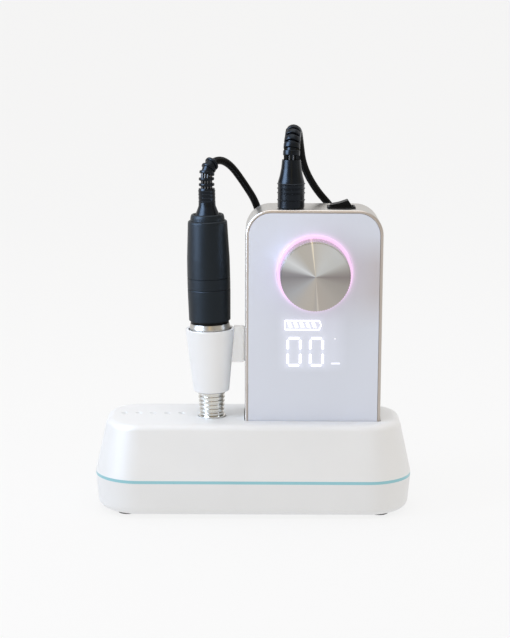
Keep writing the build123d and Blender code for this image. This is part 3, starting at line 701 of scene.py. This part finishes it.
pink_share = g.math("DIVIDE", halo, g.plus(light, 0.0001))
g.set("Emission Color", g.mix(pink_share, (0.80, 0.80, 1.0), (1.0, 0.45, 0.92)))
g.set("Emission Strength", light)
# Painted shade, tinted pink by the ring's light: the acrylic's base colour darkens towards its
# right edge, beside the knob.
painted_pink_shade = g.times(g.spread(x, 0.0, 0.55, 0.050, 0.066), g.band(z, 0.104, 0.124, 0.140, 0.156))
g.tint(painted_pink_shade, (0.50, 0.44, 0.44))
dress(g, "front_panel")


# ------------------------------------------------------------------ bending reliefs
# All in mm, as are the outlines and heights given to slotted_relief.
CORE_RADIUS = 2.35
CORE_SIDES = 24
RIB_RADIUS = 0.45
RING_OVERLAP = 0.4
CLOSED_GAP_DEPTH = 0.9
WEB_SETBACK = 0.15
WEB_OVERLAP = 0.1
LINE_SAMPLES = 200


def relief_line(start, tangent, straight, end):
    """Points and directions along a straight run and the arc that follows it to the end."""
    tangent = tangent.normalized()
    corner = start + tangent * straight
    chord = end - corner
    sideways = square_to(tangent, chord)
    radius = chord.length_squared / (2 * chord.dot(sideways))
    swing = 2 * math.atan2(chord.dot(sideways), chord.dot(tangent))
    total = straight + radius * swing
    out = []
    for i in range(LINE_SAMPLES + 1):
        s = total * i / LINE_SAMPLES
        if s <= straight:
            out.append((start + tangent * s, tangent))
            continue
        a = (s - straight) / radius
        place = corner + tangent * radius * math.sin(a) + sideways * radius * (1 - math.cos(a))
        out.append((place, (tangent * math.cos(a) + sideways * math.sin(a)).normalized()))
    return out


def ring_outline(radius, half_height):
    """Half a section through a ring whose outer edges are rounded."""
    rounding = min(0.5, half_height * 0.6)
    edge = []
    for a in (0.0, 0.4, 0.8, 1.2, math.pi / 2):
        out = radius - rounding + rounding * math.cos(a)
        edge.append((out, half_height - rounding + rounding * math.sin(a)))
    inner = CORE_RADIUS - RING_OVERLAP
    mirrored = [(r, -h) for r, h in reversed(edge)]
    return [(inner, -half_height), *mirrored, *edge, (inner, half_height)]


def slotted_relief(
    shape, ribs, line, ring_places, ring_radii, half_height, rib_count, ribbed_gaps, web=0.0
):
    """A bending relief: rounded rings round a slim core, with upright ribs in the first gaps.

    Rings stand at fractions of the line. The gaps after the ribbed ones are filled. Webs,
    where wanted, close the slots on both sides: web is half their thickness.
    """
    side = line[0][1].orthogonal().normalized()
    core_rings = []
    for place, direction in line:
        side = square_to(direction, side)
        core_rings.append(circle(place, side, direction.cross(side), CORE_RADIUS, CORE_SIDES))
    shape.join(core_rings)
    for fraction, radius in zip(ring_places, ring_radii):
        place, direction = line[round(fraction * LINE_SAMPLES)]
        shape.turned(place, direction, ring_outline(radius, half_height), closed=True)
    for gap, (first, second) in enumerate(zip([0.0, *ring_places], ring_places)):
        place, direction = line[round((first + second) / 2 * LINE_SAMPLES)]
        low = line[round(first * LINE_SAMPLES)][0]
        high = line[round(second * LINE_SAMPLES)][0]
        length = (high - low).length / 2
        right_side = square_to(direction, Vector((1, 0, 0)))
        if gap < ribbed_gaps:
            for k in range(rib_count):
                a = 2 * math.pi * (k + 0.5) / rib_count
                out = right_side * math.cos(a) + direction.cross(right_side) * math.sin(a)
                ribs.turned(
                    place + out * (CORE_RADIUS + RIB_RADIUS) * MM,
                    direction,
                    [(RIB_RADIUS, -length / MM), (RIB_RADIUS, length / MM)],
                    segments=12,
                )
        else:
            filled = CORE_RADIUS + CLOSED_GAP_DEPTH
            shape.turned(place, direction, [(filled, -length / MM), (filled, length / MM)])
        if web:
            core = CORE_RADIUS * MM
            reach = (min(ring_radii) - WEB_SETBACK) * MM
            for out in (right_side, -right_side):
                shape.box(
                    place + out * (core + reach) / 2,
                    (out, direction.cross(out), direction),
                    ((reach - core) / 2 + WEB_OVERLAP * MM, web * MM, length),
                )


# The handpiece's axis leans in the cup. Heights along it count from the nose's tip.
lean = math.radians(1.3)
handpiece_axis = Vector((-math.sin(lean), 0, math.cos(lean)))
nose = mm(-23.2, -4.0, 51.2)
RELIEF_FOOT = 109.2
RELIEF_TOP = 128.7
CONE_FOOT, CONE_HEIGHT = 114.2, 4.7
CONE_RADIUS, CONE_TAPER = 6.65, 1.9
CONE_STEPS = 8

# A foot on the rear cap, a cone, four low ribs and the top, where the slotted part starts.
relief = Shape("handpiece_bend_relief")
outline = [(0.4, RELIEF_FOOT), (8.3, RELIEF_FOOT), (8.3, 111.0), (7.0, 111.4), (6.85, 113.0)]
outline.append((CONE_RADIUS, CONE_FOOT))
for i in range(1, CONE_STEPS + 1):
    share = i / CONE_STEPS
    outline.append((CONE_RADIUS - CONE_TAPER * share**0.95, CONE_FOOT + CONE_HEIGHT * share))
for rib in (121.4, 123.4, 125.4, 127.3):
    outline += [(4.6, rib - 0.3), (4.72, rib - 0.12), (4.72, rib + 0.12), (4.55, rib + 0.3)]
outline += [(4.45, 128.3), (4.3, RELIEF_TOP), (0.4, RELIEF_TOP)]
relief.turned(nose, handpiece_axis, outline)
relief_ribs = Shape("handpiece_relief_ribs")
slotted_relief(
    relief,
    relief_ribs,
    relief_line(
        nose + handpiece_axis * RELIEF_TOP * MM, handpiece_axis, 5.4 * MM, mm(*HANDPIECE_EXIT)
    ),
    ring_places=[0.12, 0.31, 0.50, 0.69, 0.88],
    ring_radii=[4.3, 4.25, 4.2, 4.15, 4.1],
    half_height=0.82,
    rib_count=12,
    ribbed_gaps=3,
)
relief_piece = relief.build(relief_rubber, "handpiece")
relief_ribs.build(relief_gloss, "handpiece")
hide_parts("handpiece_strain_relief")

plug_relief = Shape("plug_bend_relief")
plug_relief_ribs = Shape("plug_relief_ribs")
slotted_relief(
    plug_relief,
    plug_relief_ribs,
    relief_line(mm(19.95, -7.0, 196.0), Vector((0, 0, 1)), 1.5 * MM, mm(*PLUG_EXIT)),
    ring_places=[0.190, 0.385, 0.572, 0.755, 0.935],
    ring_radii=[4.6, 4.5, 4.4, 4.3, 4.2],
    half_height=1.5,
    rib_count=8,
    ribbed_gaps=1,
    web=1.9,
)
plug_relief_piece = plug_relief.build(relief_rubber, "handpiece")
plug_ribs_piece = plug_relief_ribs.build(relief_gloss, "handpiece")
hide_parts("plug_strain_relief")

# ------------------------------------------------------------------ display
# Two digits, a charge bar, a dot and a plain dash, lit through the panel. All in mm: they
# start inside the panel and stand a little proud of its face.
PANEL_Y = -16.0
GLOW_FRONT = PANEL_Y - 0.06
GLOW_BACK = PANEL_Y + 0.2
DIGIT_STROKE = 1.2
# Ends of the upper and lower upright strokes, and heights of the level ones.
DIGIT_HALVES = ((92.6, 97.9), (84.5, 90.1))
DIGIT_LEVELS = (83.6, 98.8)
CHARGE_STROKE = 0.5
CHARGE_CELLS = 5


def lit_bar(shape, x0, z0, x1, z1, width):
    """A bar with pointed ends from one point to the other."""
    start, end = Vector((x0, z0)), Vector((x1, z1))
    run = end - start
    length = run.length
    run.normalize()
    across = Vector((-run.y, run.x)) * width / 2
    tip = run * min(width * 0.35, length / 3)
    corners = [
        start,
        start + tip + across,
        end - tip + across,
        end,
        end - tip - across,
        start + tip - across,
    ]
    shape.plate([tuple(c) for c in corners], GLOW_FRONT, GLOW_BACK)


lit_white = finish("lit_segments", (0.9, 0.9, 0.95), 0.4, emission=((0.98, 0.98, 1.0), 1.4))
digits = Shape("display_digits")
for left_x, right_x in ((18.6, 25.5), (31.0, 37.8)):
    for side_x in (left_x, right_x):
        for low_z, high_z in DIGIT_HALVES:
            lit_bar(digits, side_x, low_z, side_x, high_z, DIGIT_STROKE)
    for level in DIGIT_LEVELS:
        lit_bar(digits, left_x + 0.5, level, right_x - 0.5, level, DIGIT_STROKE)
digits.build(lit_white, "control_unit", sharp=None)

charge = Shape("display_charge_bar")
for x0, z0, x1, z1 in (
    (17.0, 103.6, 36.0, 103.6),
    (17.0, 108.65, 36.0, 108.65),
    (17.0, 103.6, 17.0, 108.65),
    (36.0, 103.6, 36.0, 105.1),
    (36.0, 107.1, 36.0, 108.65),
    (36.7, 105.2, 36.7, 107.0),
):
    lit_bar(charge, x0, z0, x1, z1, CHARGE_STROKE)
for i in range(CHARGE_CELLS):
    middle = 19.7 + 3.3 * i
    charge.plate(
        [
            (middle - 1.3, 107.5),
            (middle + 0.35, 107.5),
            (middle + 1.3, 104.75),
            (middle - 0.35, 104.75),
        ],
        GLOW_FRONT,
        GLOW_BACK,
    )
charge.build(lit_white, "control_unit", sharp=None)

marks = Shape("display_marks")
dot_outline = [(0.45, 0.0), (0.45, 0.26)]
marks.turned(mm(44.5, GLOW_BACK, 98.6), Vector((0, -1, 0)), dot_outline, segments=20)
lit_bar(marks, 42.4, 84.7, 47.6, 84.7, 1.0)
faint = finish("lit_marks", (0.85, 0.85, 0.92), 0.4, emission=((0.9, 0.9, 1.0), 0.35))
marks.build(faint, "control_unit", sharp=None)

# ------------------------------------------------------------------ floor and light
# The floor is a sheet that bends up into a back wall, with a glow of its own. In metres.
FLOOR_FRONT = -12.0
FLOOR_BACK = 1.2
BEND_RADIUS = 1
BEND_STEPS = 12
WALL_TOP = 4.0
HALF_WIDTH = 9.0

floor_surface = Surface("studio_floor")
floor_surface.set("Base Color", (0.15, 0.15, 0.15))
floor_surface.set("Roughness", 0.9)
floor_surface.set("Specular IOR Level", 0.0)
floor_surface.set("Emission Color", (1, 1, 1))
floor_surface.set("Emission Strength", 0.78)
profile = [(FLOOR_FRONT, 0.0), (FLOOR_BACK, 0.0)]
for k in range(1, BEND_STEPS + 1):
    a = math.pi / 2 * k / BEND_STEPS
    profile.append((FLOOR_BACK + BEND_RADIUS * math.sin(a), BEND_RADIUS * (1 - math.cos(a))))
profile.append((FLOOR_BACK + BEND_RADIUS, WALL_TOP))
floor_data = bpy.data.meshes.new("studio_floor")
floor_data.from_pydata(
    [(side * HALF_WIDTH, y, z) for y, z in profile for side in (-1, 1)],
    [],
    [(2 * k, 2 * k + 1, 2 * k + 3, 2 * k + 2) for k in range(len(profile) - 1)],
)
floor_data.polygons.foreach_set("use_smooth", [True] * len(floor_data.polygons))
floor_data.materials.append(floor_surface.material)
floor = put("studio_floor", floor_data)

# The room: walls whose colour changes on the way round, under a white ceiling. The ramp starts
# and ends behind the object, with -X at 0.25, straight in front at 0.5 and +X at 0.75.
CEILING_FROM, CEILING_FULL = 0.45, 0.85
world = bpy.data.worlds.new("studio")
scene.world = world
room = Graph(world, "Background", "Generated")
x, y, z = room.split()
bearing = room.math("ARCTAN2", x, room.times(y, -1.0))
walls = room.ramp(
    room.plus(room.math("DIVIDE", bearing, 2 * math.pi), 0.5),
    [
        (0.0, (0.88, 0.90, 0.94)),
        (0.12, (0.78, 0.81, 0.87)),
        (0.25, (0.58, 0.61, 0.67)),
        (0.36, (0.62, 0.65, 0.70)),
        (0.43, (0.66, 0.65, 0.64)),
        (0.47, (0.56, 0.50, 0.42)),
        (0.488, (0.62, 0.53, 0.38)),
        (0.494, (1.90, 1.45, 0.75)),
        (0.506, (1.90, 1.45, 0.75)),
        (0.512, (0.62, 0.53, 0.38)),
        (0.53, (0.56, 0.50, 0.42)),
        (0.57, (0.62, 0.59, 0.55)),
        (0.66, (0.76, 0.71, 0.62)),
        (0.75, (0.80, 0.70, 0.56)),
        (0.86, (0.88, 0.88, 0.90)),
        (1.0, (0.88, 0.90, 0.94)),
    ],
)
height = room.spread(z, 0.0, 1.0, CEILING_FROM, CEILING_FULL)
room.set("Color", room.mix(height, walls, (1.0, 1.0, 1.02)))
room.set("Strength", 0.95)


def softbox(name, place, aim, size, power, colour):
    """A lit rectangle that faces a point."""
    data = bpy.data.lights.new(name, "AREA")
    data.shape = "RECTANGLE"
    data.size, data.size_y = size
    data.energy = power
    data.color = colour
    lamp = put(name, data)
    lamp.location = place
    lamp.rotation_euler = (Vector(aim) - Vector(place)).to_track_quat("-Z", "Y").to_euler()
    return lamp


softbox("strip_left", (-0.54, -0.264, 0.29), (0, 0, 0.2), (0.14, 0.56), 1.1, (0.80, 0.88, 1.0))
softbox("strip_right", (0.57, -0.19, 0.165), (0, 0, 0.12), (0.07, 0.33), 0.05, (0.95, 0.98, 1.0))
# The gleam shows only as a reflection and doesn't light anything.
gleam_colour = (0.62, 0.80, 1.08)
gleam = softbox("gleam_high", (-0.5, -0.23, 0.44), (0, 0, 0.2), (0.45, 0.6), 11.0, gleam_colour)
gleam.visible_diffuse = False
softbox("top", (0.0, -0.1, 1.3), (0, 0, 0), (1.0, 1.0), 5.0, (1.0, 0.99, 0.97))
